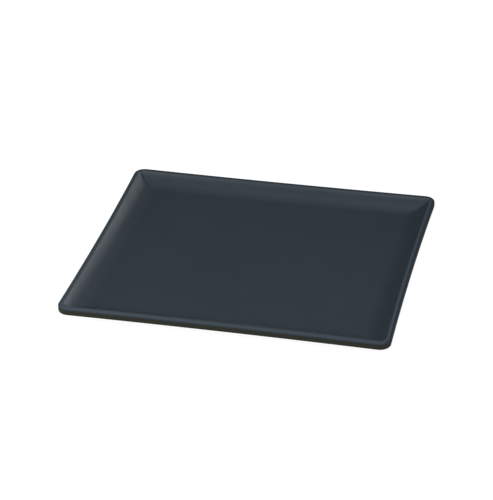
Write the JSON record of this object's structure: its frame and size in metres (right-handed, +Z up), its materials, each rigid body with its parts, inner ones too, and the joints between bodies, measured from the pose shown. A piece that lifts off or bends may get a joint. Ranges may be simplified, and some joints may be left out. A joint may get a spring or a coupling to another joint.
{
  "type": "rectangular serving platter",
  "caption": "Shallow rectangular serving platter with a rounded rim, mitred coved walls and a flat floor, pressed in slate blue over olive black, standing on bonded anti-slip pads.",
  "frame": {"origin": "on the surface that the platter stands on, under the middle of the platter", "axes": "+X along the longer sides, +Y towards the rear side, +Z up out of the well"},
  "size_m": [0.354, 0.325, 0.0178],
  "materials": {
    "slate_melamine": "satin pressed melamine, dark slate blue",
    "olive_melamine": "satin pressed melamine, olive black",
    "pad_rubber": "matte black rubber"
  },
  "bodies": {
    "root": {"face_layer": "slate_melamine", "base_shell": "olive_melamine", "foot_pad_front_left": "pad_rubber", "foot_pad_front_right": "pad_rubber", "foot_pad_rear_left": "pad_rubber", "foot_pad_rear_right": "pad_rubber"}
  },
  "joints": []
}
